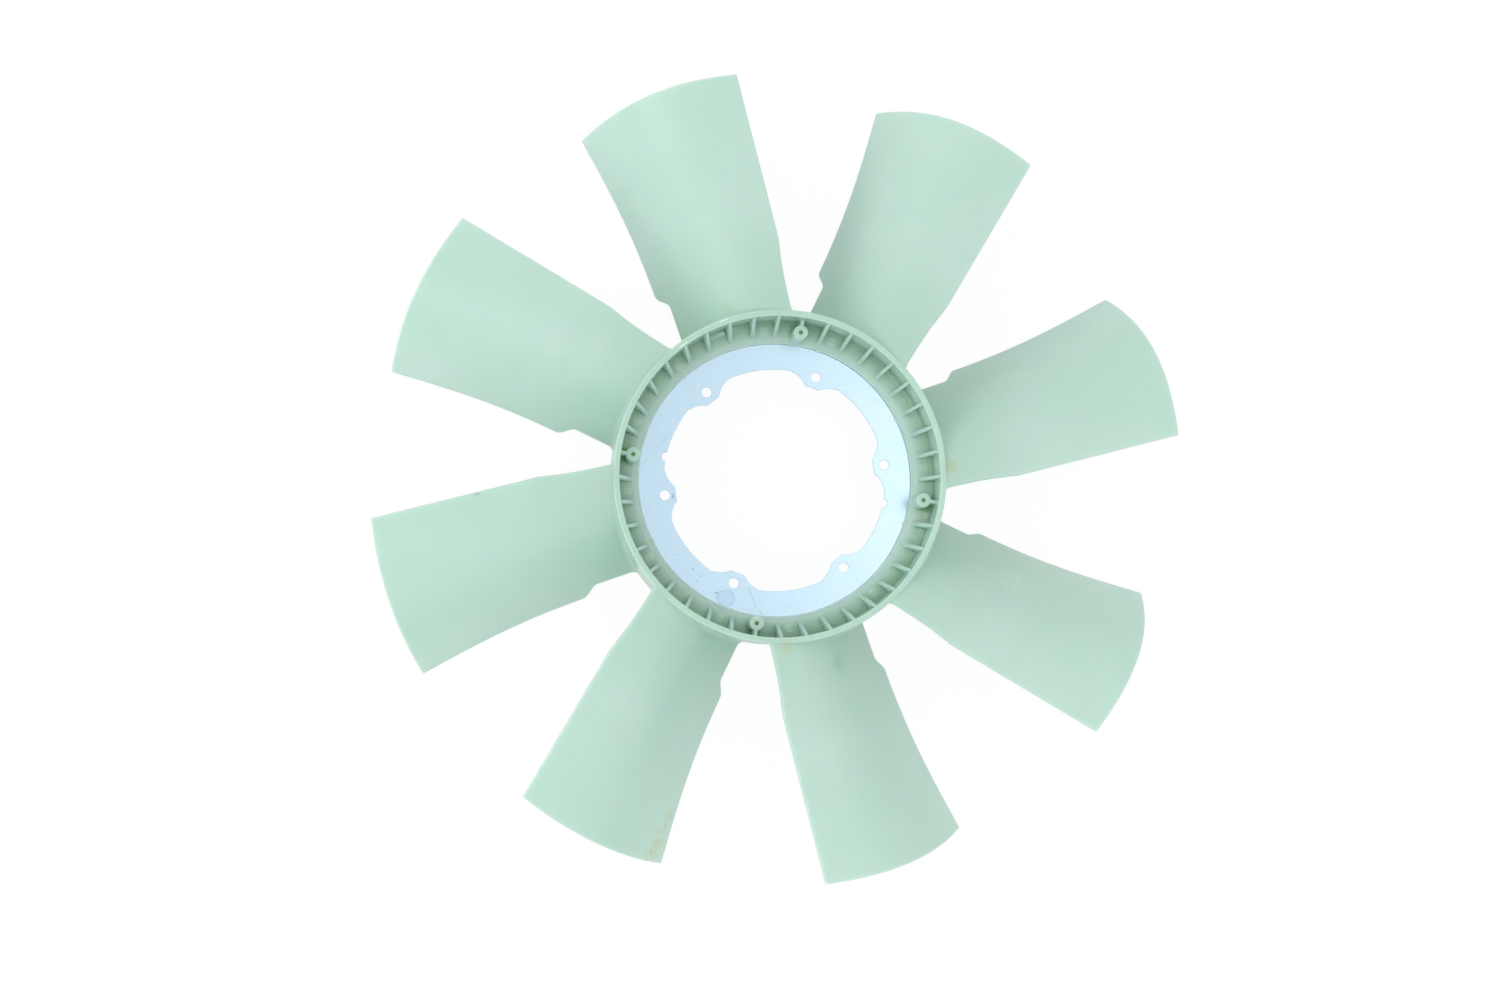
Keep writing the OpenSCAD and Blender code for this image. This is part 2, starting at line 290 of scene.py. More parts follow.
corner = add_node(tree, "ShaderNodeMapRange", {
    "Value": radius, "From Min": 129 * MM, "From Max": 138 * MM}).outputs[0]
low = add_node(tree, "ShaderNodeMapRange", {
    "Value": height, "From Min": 21 * MM, "From Max": 12 * MM}).outputs[0]
colour = painted(tree, colour, where_all(tree, inside, corner, low), 0.55, "#84AA84")

root = add_node(tree, "ShaderNodeMapRange", {
    "Value": radius, "From Min": 235 * MM, "From Max": 146 * MM}).outputs[0]
colour = painted(tree, colour, root, 0.35, "#A4CDB9")

# %% [markdown]
# ### Beside the steel
# The seam where the lip meets the steel is darkened with painted shade. The land
# above it is painted paler than the floor, as painted light where the floor next
# to the lip lies in shade, and the eight lugs are nearly white.

# %% Moulded polyamide: seam, land and lugs
LIP_SHADE = (LIP_H - 0.4) * MM

# Painted shade on the lip's inner face, in the seam against the steel
seam = add_node(tree, "ShaderNodeMath", {0: radius, 1: (LIP_R + 0.15) * MM},
                operation="LESS_THAN").outputs[0]
under = add_node(tree, "ShaderNodeMath", {0: height, 1: LIP_SHADE},
                 operation="LESS_THAN").outputs[0]
colour = painted(tree, colour, where_all(tree, seam, under), 0.7, "#7A9A98")

# Painted light: the land next to the lip is painted paler
land = add_node(tree, "ShaderNodeMapRange", {
    "Value": radius, "From Min": 127.5 * MM, "From Max": 122.5 * MM}).outputs[0]
low_land = add_node(tree, "ShaderNodeMath", {0: height, 1: 7.5 * MM},
                    operation="LESS_THAN").outputs[0]
over_steel = add_node(tree, "ShaderNodeMath", {0: height, 1: LIP_SHADE},
                      operation="GREATER_THAN").outputs[0]
colour = painted(tree, colour, where_all(tree, land, low_land, over_steel), 0.5, "#D2F2E6")

on_lug = add_node(tree, "ShaderNodeMath", {0: radius, 1: (LIP_R - 0.15) * MM},
                  operation="LESS_THAN").outputs[0]
colour = painted(tree, colour, on_lug, 0.8, "#E4F0EE")

# %% [markdown]
# ### Bosses and pads
# Four screw bosses and twelve ejector pads stand in the ring. Light reaches the
# boss holes through the plastic, which turns it yellow-green: a very weak painted
# glow does that without a light for each hole. The corners next to a boss get a
# yellow-green painted shade. The pins that push the moulding out leave smoother
# discs, painted paler as painted light on their flat tops.

# %% Where the bosses and the pads stand
BOSS_COUNT, BOSS_CIRCLE, BOSS_TURN = 4, 128.1, -8.98
BOSS_TOP, BOSS_ROUND, HOLE_D = 35.3, 0.6, 3.7
BOSS_ANGLES = [BOSS_TURN + i * 360 / BOSS_COUNT for i in range(BOSS_COUNT)]

# Each pad is midway between two ribs, at so many degrees from the first boss
PAD_D, PAD_R = 8.0, 130.7
PAD_ANGLES = [BOSS_TURN + step for step in (
    -139.5, -103.5, -76.5, -40.5, -13.5, 13.5, 40.5, 76.5, 103.5, 139.5, 166.5, 193.5)]


def to_nearest(tree, flat_place, circle, angles):
    """Distance to the nearest of the upright axes that stand on a circle."""
    nearest = None
    for angle in angles:
        turn = math.radians(angle)
        axis = (circle * MM * math.cos(turn), circle * MM * math.sin(turn), 0)
        gap = add_node(tree, "ShaderNodeVectorMath", {0: flat_place, 1: axis},
                       operation="DISTANCE").outputs["Value"]
        nearest = gap if nearest is None else add_node(
            tree, "ShaderNodeMath", {0: nearest, 1: gap}, operation="MINIMUM").outputs[0]
    return nearest


print(len(BOSS_ANGLES), "bosses and", len(PAD_ANGLES), "ejector pads")

# %% Moulded polyamide: bosses and pads
boss_gap = to_nearest(tree, flat, BOSS_CIRCLE, BOSS_ANGLES)
# Painted shade, yellow-green, in the corners next to each boss
boss_corner_shade = add_node(tree, "ShaderNodeMapRange", {
    "Value": boss_gap, "From Min": 11.5 * MM, "From Max": 6.5 * MM}).outputs[0]
colour = painted(tree, colour, where_all(tree, boss_corner_shade, pocket_shade), 0.56, "#8FAE74")

# Painted light: a weak glow in each hole stands in for light through the plastic
in_hole = add_node(tree, "ShaderNodeMath", {0: boss_gap, 1: (HOLE_D / 2 + 0.1) * MM},
                   operation="LESS_THAN").outputs[0]
below_top = add_node(tree, "ShaderNodeMath", {0: height, 1: (BOSS_TOP - BOSS_ROUND) * MM},
                     operation="LESS_THAN").outputs[0]
glow = add_node(tree, "ShaderNodeMath", {
    0: where_all(tree, in_hole, below_top), 1: 0.10}, operation="MULTIPLY")
tree.links.new(glow.outputs[0], shader.inputs["Emission Strength"])
shader.inputs["Emission Color"].default_value = linear("#C9DC9A")

# Painted light: the flat tops of the pads are painted paler
pad_gap = to_nearest(tree, flat, PAD_R, PAD_ANGLES)
on_pad = add_node(tree, "ShaderNodeMapRange", {
    "Value": pad_gap, "From Min": (PAD_D / 2 + 0.4) * MM,
    "From Max": (PAD_D / 2 - 0.8) * MM}).outputs[0]
low_down = add_node(tree, "ShaderNodeMath", {0: height, 1: 12 * MM},
                    operation="LESS_THAN").outputs[0]
colour = painted(tree, colour, where_all(tree, on_pad, inside, low_down), 0.4, "#CFE6DC")

# %% [markdown]
# ### Scuffs and stains on the blades
# The fan has been handled: pale rubbed patches, a stained corner, yellowish spots
# at the roots and flecks of rust. A pale line on one root's fillet and two bright
# streaks on the rim are painted highlights. The rubs are streaky at 2.4 mm and
# the stain is blotchy at 8 mm, so their masks are broken up by a noise of that
# size.

# %% Scuffs and stains on the blades
ragged = ragged_place(tree, place, 7)
streaky = add_node(tree, "ShaderNodeTexNoise", {
    "Vector": place, "Scale": 420.0, "Detail": 4.0}).outputs["Fac"]
streaky = add_node(tree, "ShaderNodeMapRange", {
    "Value": streaky, "From Min": 0.42, "From Max": 0.62}).outputs[0]
blotchy = add_node(tree, "ShaderNodeTexNoise", {
    "Vector": place, "Scale": 130.0, "Detail": 3.0}).outputs["Fac"]
blotchy = add_node(tree, "ShaderNodeMapRange", {
    "Value": blotchy, "From Min": 0.38, "From Max": 0.6}).outputs[0]

# Pale rubbed patches: place, reach, how strong
for spot, reach, amount in (
        ((-195, 115, 40), 3, 0.3), ((-157, 115, 46), 2, 0.3), ((-208, 90, 16), 5, 0.2),
        ((-288, 154, 38), 5, 0.2), ((206, -89, 15), 8, 0.45), ((-74, -135, 34), 1, 0.3)):
    rubbed = where_all(tree, blot(tree, ragged, spot, reach, 12), streaky)
    colour = painted(tree, colour, rubbed, amount, "#E4EFEE")

# A blotchy yellow-brown stain at one trailing edge, with pale rubs in it
for spot, reach in (((-111, -330, -23), 8), ((-104, -313, -28), 7), ((-96, -297, -34), 5)):
    stain = where_all(tree, blot(tree, ragged, spot, reach, 9), blotchy)
    colour = painted(tree, colour, stain, 0.55, "#BDBB90")
    colour = painted(tree, colour, where_all(tree, stain, streaky), 0.5, "#DCE8DC")

# Yellowish spots where blade roots meet the rim, and one dull grey spot
for spot, reach, amount, tint in (
        ((148, 9, 49), 1, 0.5, "#B9C293"), ((4, -147, 49), 1, 0.5, "#C3CC9C"),
        ((-46, 146, 36), 1, 0.35, "#B9C293"), ((51, -161, 32), 3, 0.25, "#8FB49C")):
    colour = painted(tree, colour, blot(tree, ragged, spot, reach, 7), amount, tint)
# A pale yellowish line on one blade root's fillet is a painted highlight
fillet_highlight = scratch(tree, ragged, (-148, 12, 45), (-150.5, -13.6, 45), 6)
colour = painted(tree, colour, fillet_highlight, 0.45, "#CBD8B2")

# Small rust-brown flecks on one leading edge, and painted highlights on the rim
for start, end in (((-305, -25, 48), (-312, -26.5, 48)), ((-259, -15.3, 50), (-262, -16, 50))):
    colour = painted(tree, colour, scratch(tree, place, start, end, 1.2), 0.7, "#A58270")
for start, end in (((-45.5, 135.6, 50), (-51, 133.6, 50)), ((-80.5, 115.6, 50), (-87, 110.7, 50))):
    colour = painted(tree, colour, scratch(tree, place, start, end, 0.9), 0.8, "#F4FBF8")
tree.links.new(colour, shader.inputs["Base Color"])
print(polyamide.name, "with its marks has", len(tree.nodes), "nodes")

# %% [markdown]
# ### Gloss and grain
# The skin copies the mould. It is satin nearly everywhere, with patches of 20 mm
# that are a little duller, and the inside wall and its fillet are polished, so
# they glint. Two bumps break the reflections up: the grain, and slow waves of
# 33 mm where the thick plastic has sunk a little.

# %% Moulded polyamide: gloss and grain
gloss = add_node(tree, "ShaderNodeTexNoise", {
    "Vector": place, "Scale": 45.0, "Detail": 4.0})
satin = add_node(tree, "ShaderNodeMapRange", {
    "Value": gloss.outputs["Fac"], "To Min": 0.34, "To Max": 0.38}).outputs[0]

# Two polished bands, as middle and half width: the wall, and low down its fillet
WALL_BAND, WALL_HALF = 140.9, 2.3
FILLET_BAND, FILLET_HALF, FILLET_TOP = 136.6, 2.2, 16.5
on_wall = add_node(tree, "ShaderNodeMath", {
    0: radius, 1: WALL_BAND * MM, 2: WALL_HALF * MM}, operation="COMPARE").outputs[0]
in_fillet = add_node(tree, "ShaderNodeMath", {
    0: radius, 1: FILLET_BAND * MM, 2: FILLET_HALF * MM}, operation="COMPARE").outputs[0]
below = add_node(tree, "ShaderNodeMath", {
    0: height, 1: FILLET_TOP * MM}, operation="LESS_THAN").outputs[0]
polished = add_node(tree, "ShaderNodeMath", {
    0: on_wall, 1: where_all(tree, in_fillet, below)}, operation="MAXIMUM").outputs[0]
skin_rough = add_node(tree, "ShaderNodeMix", {
    "Factor": polished, 2: satin, 3: 0.18}, data_type="FLOAT")
tree.links.new(skin_rough.outputs[0], shader.inputs["Roughness"])

grain = add_node(tree, "ShaderNodeTexNoise", {
    "Vector": place, "Scale": 650.0, "Detail": 2.0})
grain_bump = add_node(tree, "ShaderNodeBump", {
    "Height": grain.outputs["Fac"], "Strength": 0.12, "Distance": 0.0002})
waves = add_node(tree, "ShaderNodeTexNoise", {
    "Vector": place, "Scale": 30.0, "Detail": 1.0})
wave_bump = add_node(tree, "ShaderNodeBump", {
    "Height": waves.outputs["Fac"], "Normal": grain_bump.outputs[0],
    "Strength": 0.25, "Distance": 0.0015})
tree.links.new(wave_bump.outputs[0], shader.inputs["Normal"])
print(polyamide.name, "finished has", len(tree.nodes), "nodes")

# %% [markdown]
# ### Zinc-plated steel
# The disc is cold-rolled sheet with bright zinc and a blue passivation, which
# turns its reflections a cool pale blue. The zinc's crystals mottle it at about
# 2.4 mm, and rolling leaves faint streaks one way, 1.1 mm wide and 33 mm long.
# Anisotropy would draw such streaks too, but it is lost when the model is
# exported, so they are a stretched noise in the roughness and the bump.

# %% Zinc-plated steel: the plating
steel, tree, shader, place = new_material("blue_passivated_zinc_plate")
shader.inputs["Metallic"].default_value = 1.0

bloom = add_node(tree, "ShaderNodeTexNoise", {"Vector": place, "Scale": 22.0, "Detail": 4.0})
tone = add_node(tree, "ShaderNodeMix", {
    "Factor": bloom.outputs["Fac"], 6: linear("#B9D5E6"), 7: linear("#C5DDEC")},
    data_type="RGBA")
mottle = add_node(tree, "ShaderNodeTexNoise", {
    "Vector": place, "Scale": 420.0, "Detail": 3.0}).outputs["Fac"]
mottle = add_node(tree, "ShaderNodeMapRange", {
    "Value": mottle, "From Min": 0.35, "From Max": 0.65}).outputs[0]
colour = painted(tree, tone.outputs[2], mottle, 0.25, "#A6C6DE")

streak_place = add_node(tree, "ShaderNodeMapping", {
    "Vector": place, "Rotation": (0, 0, math.radians(35)), "Scale": (30, 900, 30)})
streaks = add_node(tree, "ShaderNodeTexNoise", {
    "Vector": streak_place.outputs[0], "Scale": 1.0, "Detail": 3.0})
dull = add_node(tree, "ShaderNodeMapRange", {
    "Value": streaks.outputs["Fac"], "To Min": 0.24, "To Max": 0.34})
tree.links.new(dull.outputs[0], shader.inputs["Roughness"])
streak_bump = add_node(tree, "ShaderNodeBump", {
    "Height": streaks.outputs["Fac"], "Strength": 0.15, "Distance": 0.0002})
tree.links.new(streak_bump.outputs[0], shader.inputs["Normal"])

# %% [markdown]
# ### Marks on the steel
# Next to the lip the steel has a fine bright line, and at the lip's foot a dark
# line of painted shadow. A drop of liquid has dried in a ring of 15 mm. The rest
# is handling: fine scratches, and dull specks of about 1.4 mm.

# %% Zinc-plated steel: lines, dried drop, scratches and specks
steel_radius = add_node(tree, "ShaderNodeVectorMath", {0: place},
                        operation="LENGTH").outputs["Value"]
# A fine bright line, then painted shadow at the foot of the lip
for line_radius, half, amount, tint in (
        (119.2, 0.3, 0.15, "#E2F2F8"), (120.2, 0.3, 0.3, "#6C8092")):
    line = add_node(tree, "ShaderNodeMath", {
        0: steel_radius, 1: line_radius * MM, 2: half * MM}, operation="COMPARE").outputs[0]
    colour = painted(tree, colour, line, amount, tint)

DROP_PLACE = (-44, -104, 0)
wet = ragged_place(tree, place, 1.2)
inner = blot(tree, wet, DROP_PLACE, 6.0, 1.5)
outer = blot(tree, wet, DROP_PLACE, 7.5, 0.8)
colour = painted(tree, colour, inner, 0.35, "#9DBBD6")
dried_edge = add_node(tree, "ShaderNodeMath", {0: outer, 1: inner}, operation="SUBTRACT")
colour = painted(tree, colour, dried_edge.outputs[0], 0.55, "#8FAFCB")

# Scratches: from, to, width, how strong
for start, end, width, amount in (
        ((-24, -95, 0), (-21.5, -101, 0), 0.6, 0.4), ((-21.5, -101, 0), (-18, -112, 0), 0.5, 0.5),
        ((-15, -114, 0), (-12, -119, 0), 0.6, 0.5), ((-92, 42, 0), (-102, 30, 0), 0.5, 0.3),
        ((-99, 41, 0), (-95, 36, 0), 0.4, 0.2), ((-105, 29, 0), (-109, 21, 0), 0.4, 0.2),
        ((-90.2, -13, 0), (-90, -15.6, 0), 1.0, 0.8), ((-54, -99.5, 0), (-51, -99, 0), 1.0, 0.6),
        ((-51, -98, 0), (-52.5, -103, 0), 0.6, 0.4), ((-73, -78, 0), (-72.6, -79, 0), 0.9, 0.6),
        ((-66, -84.4, 0), (-65.6, -84.8, 0), 0.8, 0.5),
        ((-70, -88, 0), (-68.5, -89.5, 0), 0.8, 0.4)):
    colour = painted(tree, colour, scratch(tree, wet, start, end, width), amount, "#5F7894")
specks = add_node(tree, "ShaderNodeTexNoise", {
    "Vector": place, "Scale": 700.0, "Detail": 2.0}).outputs["Fac"]
specks = add_node(tree, "ShaderNodeMapRange", {
    "Value": specks, "From Min": 0.66, "From Max": 0.74}).outputs[0]
colour = painted(tree, colour, specks, 0.35, "#86A3BE")
tree.links.new(colour, shader.inputs["Base Color"])
print(steel.name, "has", len(tree.nodes), "nodes")

# %% [markdown]
# ## The hub ring
# The ring is the wall with its rim, the floor and lip in front of the disc, and
# a plain skirt and lip behind it. All of it is turned round the axis, so instead
# of stacking tubes and cones, its section is drawn once and spun. Eight tiny
# lugs of the lip reach further over the steel. So each eighth is spun in two
# steps, coarse between the lugs and fine across one, and the lip is then pulled
# inwards there.

# %% Draw the ring's section
def arc(cx, cy, radius, start, end, steps):
    """Points of an arc in the plane, from one angle in degrees to another."""
    angles = [math.radians(start + (end - start) * i / steps) for i in range(steps + 1)]
    return [(cx + radius * math.cos(a), cy + radius * math.sin(a)) for a in angles]


tilt = math.degrees(math.atan(FLOOR_SLOPE))
fillet_x = WALL_R - FLOOR_ROUND
fillet_y = floor_at(fillet_x) + FLOOR_ROUND / math.cos(math.radians(tilt))
section = (
    [(LIP_R, 0)]
    + arc(LIP_R + LIP_ROUND, LIP_H - LIP_ROUND, LIP_ROUND, 180, 90, 4)
    + arc(LAND_R - LAND_ROUND * math.tan(math.radians(tilt / 2)), LIP_H + LAND_ROUND,
          LAND_ROUND, -90, tilt - 90, 3)
    + arc(fillet_x, fillet_y, FLOOR_ROUND, tilt - 90, 0, 8)
    + arc(WALL_R + RIM_ROUND, RIM_Z - RIM_ROUND, RIM_ROUND, 180, 90, 8)
    + arc(HUB_R - RIM_ROUND, RIM_Z - RIM_ROUND, RIM_ROUND, 90, 0, 8)
    + arc(HUB_R - RIM_ROUND, REAR_Z + RIM_ROUND, RIM_ROUND, 0, -90, 8)
    + arc(WALL_R + RIM_ROUND, REAR_Z + RIM_ROUND, RIM_ROUND, -90, -180, 8)
    + arc(WALL_R - FLOOR_ROUND, -DISC_T - BACK_T - FLOOR_ROUND, FLOOR_ROUND, 0, 90, 8)
    + [(LIP_R + LIP_ROUND, -DISC_T - BACK_T), (LIP_R, -DISC_T - BACK_T + LIP_ROUND),
       (LIP_R, -DISC_T), (DISC_R, -DISC_T), (DISC_R, 0)]
)
print("the ring's section has", len(section), "corners")

# %% Spin the ring
# Lugs: how many, half their width, their reach, the first one's place, and the
# degrees that are spun finely for each
LUG_COUNT, LUG_HALF, LUG_REACH, LUG_TURN, LUG_SPAN = 8, 1.7, 1.1, 26.3, 1.8

ring_mesh = bmesh.new()
corners = [ring_mesh.verts.new((x, 0, z)) for x, z in section]
outline = [ring_mesh.edges.new((a, b)) for a, b in zip(corners, corners[1:] + corners[:1])]
bmesh.ops.rotate(ring_mesh, verts=corners,
                 matrix=Matrix.Rotation(math.radians(LUG_TURN + LUG_SPAN / 2), 3, "Z"))
last = corners + outline
for eighth in range(LUG_COUNT):
    for span, steps in ((360 / LUG_COUNT - LUG_SPAN, 34), (LUG_SPAN, 18)):
        last = bmesh.ops.spin(ring_mesh, geom=last, cent=(0, 0, 0), axis=(0, 0, 1),
                              angle=math.radians(span), steps=steps)["geom_last"]
bmesh.ops.remove_doubles(ring_mesh, verts=ring_mesh.verts, dist=0.001)
print("the spun ring has", len(ring_mesh.verts), "corners")

# %% Pull the lugs out of the lip
for vert in ring_mesh.verts:
    radius = vert.co.xy.length
    if radius > LIP_R + LIP_ROUND + 0.1 or vert.co.z < -0.01:
        continue
    turn = math.degrees(math.atan2(vert.co.y, vert.co.x)) - LUG_TURN
    step = 360 / LUG_COUNT
    aside = math.radians(turn - step * round(turn / step)) * LIP_R
    if abs(aside) < LUG_HALF:
        vert.co.xy *= 1 - LUG_REACH * math.sqrt(1 - (aside / LUG_HALF) ** 2) / radius
ring = as_object("hub_ring", ring_mesh)

# %% [markdown]
# ## Ribs
# Thirty-six gussets stiffen the ring wall, in forty places of which the bosses
# take four. Each is a long triangle, thinner at the top so that it leaves the
# mould. A scaled cube would need its corners moved one by one. So a flat plate
# is drawn, pushed out to its thickness and tapered, and its edges are bevelled:
# the free end most, because the photograph shows it round.

# %% One rib, then all
RIB_PLACES, RIB_T, RIB_DROP, RIB_DRAFT = 40, 3.2, 3.0, 0.5
RIB_END_R, RIB_NOSE, RIB_FLAT = 126.0, 1.0, 1.0
RIB_END_ROUND, RIB_TOP_ROUND = 1.45, 0.35
RIB_TOP = RIM_Z - RIB_DROP

# How deep a form reaches into its neighbour, so that they join without a gap
BURY = 1.0


def mix(a, b, t):
    """The value between a and b at a share t of the way."""
    return a + (b - a) * t


rib = bmesh.new()
foot = floor_at(RIB_END_R)
shape = [(RIB_END_R, foot - BURY), (RIB_END_R, foot + RIB_NOSE),
         (WALL_R - RIB_FLAT, RIB_TOP), (WALL_R + BURY, RIB_TOP), (WALL_R + BURY, foot - BURY)]
plate = rib.faces.new([rib.verts.new((x, -RIB_T / 2, z)) for x, z in shape])
grown = bmesh.ops.extrude_face_region(rib, geom=[plate])["geom"]
bmesh.ops.translate(rib, vec=(0, RIB_T, 0),
                    verts=[g for g in grown if isinstance(g, bmesh.types.BMVert)])
bmesh.ops.recalc_face_normals(rib, faces=rib.faces)
end_edges = [e for e in rib.edges if all(abs(v.co.x - RIB_END_R) < 0.01 for v in e.verts)
             and abs(e.verts[0].co.y - e.verts[1].co.y) < 0.01]
bmesh.ops.bevel(rib, geom=end_edges, offset=RIB_END_ROUND, segments=6, profile=0.5,
                affect="EDGES", material=-1)
for vert in rib.verts:
    up = (vert.co.z - foot) / (RIB_TOP - foot)
    vert.co.y *= mix(1 + RIB_DRAFT / RIB_T, 1 - RIB_DRAFT / RIB_T, up)
top_edges = [e for e in rib.edges if e.calc_length() > 1.0 and e.is_manifold
             and min(v.co.z for v in e.verts) >= foot + RIB_NOSE - 0.01
             and e.calc_face_angle(0) > math.radians(40)]
bmesh.ops.bevel(rib, geom=top_edges, offset=RIB_TOP_ROUND, segments=3, profile=0.5,
                affect="EDGES", material=-1)
rib_step = 360 / RIB_PLACES
boss_every = RIB_PLACES // BOSS_COUNT
ribs = turned_copies("ribs", rib, [
    BOSS_TURN + i * rib_step for i in range(RIB_PLACES) if i % boss_every])

# %% [markdown]
# ## Screw bosses
# Four bosses take thread-forming screws. A boss is a slightly tapered post with
# a blind hole, tied to the wall by a rib as high as itself. The hole could be
# cut with a Boolean, but insetting the top face and pushing the middle down
# keeps clean faces round its chamfer.

# %% One boss with its hole
BOSS_D, BOSS_DRAFT, HOLE_DEPTH, HOLE_CHAMFER = 12.4, 1.2, 24.0, 0.5

boss = bmesh.new()
foot = floor_at(BOSS_CIRCLE - BOSS_D / 2) - BURY
middle = Matrix.Translation((BOSS_CIRCLE, 0, (BOSS_TOP + foot) / 2))
bmesh.ops.create_cone(boss, cap_ends=True, segments=48, radius1=(BOSS_D + BOSS_DRAFT) / 2,
                      radius2=BOSS_D / 2, depth=BOSS_TOP - foot, matrix=middle)
top_rim = [e for e in boss.edges if all(abs(v.co.z - BOSS_TOP) < 0.01 for v in e.verts)]
bmesh.ops.bevel(boss, geom=top_rim, offset=BOSS_ROUND, segments=3, profile=0.5,
                affect="EDGES", material=-1)
top = max(boss.faces, key=lambda f: (round(f.calc_center_median().z, 3), f.calc_area()))
bmesh.ops.inset_region(boss, faces=[top],
                       thickness=BOSS_D / 2 - BOSS_ROUND - HOLE_D / 2 - HOLE_CHAMFER)
bmesh.ops.inset_region(boss, faces=[top], thickness=HOLE_CHAMFER, depth=-HOLE_CHAMFER)
down = bmesh.ops.extrude_face_region(boss, geom=[top])["geom"]
bmesh.ops.translate(boss, vec=(0, 0, HOLE_CHAMFER - HOLE_DEPTH),
                    verts=[g for g in down if isinstance(g, bmesh.types.BMVert)])
bmesh.ops.delete(boss, geom=[top], context="FACES_ONLY")
bosses = turned_copies("bosses", boss, BOSS_ANGLES)

# %% The rib that ties a boss to the wall
TIE_OVERLAP, TIE_ROUND = 1.1, 0.5

tie = bmesh.new()
tie_from, tie_to = BOSS_CIRCLE + BOSS_D / 2 - TIE_OVERLAP, WALL_R + BURY
bmesh.ops.create_cube(tie, size=1, matrix=Matrix.Translation(
    ((tie_from + tie_to) / 2, 0, (BOSS_TOP + foot) / 2)) @ Matrix.Diagonal(
    (tie_to - tie_from, RIB_T, BOSS_TOP - foot, 1)))
long_top = [e for e in tie.edges if all(abs(v.co.z - BOSS_TOP) < 0.01 for v in e.verts)
            and abs(e.verts[0].co.y - e.verts[1].co.y) < 0.01]
bmesh.ops.bevel(tie, geom=long_top, offset=TIE_ROUND, segments=2, profile=0.5,
                affect="EDGES", material=-1)
ties = turned_copies("boss_ties", tie, BOSS_ANGLES)

# %% [markdown]
# ## Ejector pads
# Twelve pins push the moulding out of the mould, and each leaves a flat round
# pad on the sloping floor, midway between two ribs. A short cylinder does for
# each, as the floor hides its lower part.

# %% Pads
PAD_H, PAD_ROUND = 0.4, 0.3
pad_top = floor_at(PAD_R) + PAD_H
pad = bmesh.new()
bmesh.ops.create_cone(pad, cap_ends=True, segments=32, radius1=PAD_D / 2, radius2=PAD_D / 2,
                      depth=pad_top - LIP_H / 2,
                      matrix=Matrix.Translation((PAD_R, 0, (pad_top + LIP_H / 2) / 2)))
pad_rim = [e for e in pad.edges if all(abs(v.co.z - pad_top) < 0.01 for v in e.verts)]
bmesh.ops.bevel(pad, geom=pad_rim, offset=PAD_ROUND, segments=2, profile=0.5,
                affect="EDGES", material=-1)
pads = turned_copies("ejector_pads", pad, PAD_ANGLES)

# %% [markdown]
# ## Blades
# A blade is pitched, bent and twisted at once, so no box or grid bends into it
# neatly. It is a loft instead. Its section is drawn on a cylinder round the
# axis: a front face that starts nearly flat at the leading edge and bends down
# to the trailing edge, a thickness behind it, and two round edges. The loop of
# the section is extruded outwards station by station, and each new loop is moved
# to where the blade's section lies at that radius.

# %% Sizes of the blade
BLADES, TIP_R = 8, 352.0

# Heights of both edges, the kink of the leading edge, and the step of the trailing edge
LEAD_Z, TRAIL_Z, ROOT_TRAIL_Z = 49.8, -46.5, -27.5
KINK_R, STEP_R, STEP_LEN = 205.0, 197.0, 17.0

# Angles in degrees: the leading edge's lean, and the sweep at the tip and the root
LEAD_LEAN, TIP_SWEEP, ROOT_SWEEP = 14.0, 22.8, 7.6
CURL_LINEAR, CURL_SQUARE, TRAIL_POWER = 0.85, 3.25, 3.25

# How late the face bends down, its even part, the thicknesses, and the root's fillet
TIP_BEND, ROOT_BEND, EVEN_SLOPE = 3.5, 2.8, 0.07
TIP_T, ROOT_T, TRAIL_THINNING = 4.4, 5.4, 0.35
ROOT_FILLET, FILLET_FADE, NOSE_GROWTH = 5.0, 12.0, 0.3
DROP = LEAD_Z - TRAIL_Z


# %% Outline and thickness of the blade
def smooth(x, low, high):
    """0 below low, 1 above high, and an easy rise between them."""
    t = max(0.0, min(1.0, (x - low) / (high - low)))
    return t * t * (3 - 2 * t)


def outward(r):
    """0 at the hub ring, 1 at the tip."""
    return (r - HUB_R) / (TIP_R - HUB_R)


def straight_lead(r):
    """Angle at which the straight, leaning part of the leading edge meets a radius."""
    return LEAD_LEAN - math.degrees(math.asin(KINK_R * math.sin(math.radians(LEAD_LEAN)) / r))


def lead_angle(r):
    """Angle of the leading edge: straight outside the kink, curled inside it."""
    if r > KINK_R:
        return straight_lead(r)
    w = (KINK_R - r) / (KINK_R - HUB_R)
    return straight_lead(KINK_R) - CURL_LINEAR * w - CURL_SQUARE * w * w


def trail_angle(r):
    """Angle of the trailing edge, which swings wide at the root."""
    return straight_lead(TIP_R) + TIP_SWEEP + ROOT_SWEEP * max(0.0, 1 - outward(r)) ** TRAIL_POWER


def thick_at(r, s):
    """Thickness at a share s of the run: the trailing edge is thinner."""
    return mix(ROOT_T, TIP_T, outward(r)) * (1 - TRAIL_THINNING * s * s)


def bend(r):
    """How late the face bends down, as a power of the share of its run."""
    return mix(ROOT_BEND, TIP_BEND, outward(r))


print("a blade spans", round(trail_angle(TIP_R) - lead_angle(TIP_R), 1), "degrees at its tip")


# %% Section of the blade at a radius
def drop_share(r, s):
    """How far down the front face has come at a share s of its run."""
    return EVEN_SLOPE * s + (1 - EVEN_SLOPE) * s ** bend(r)


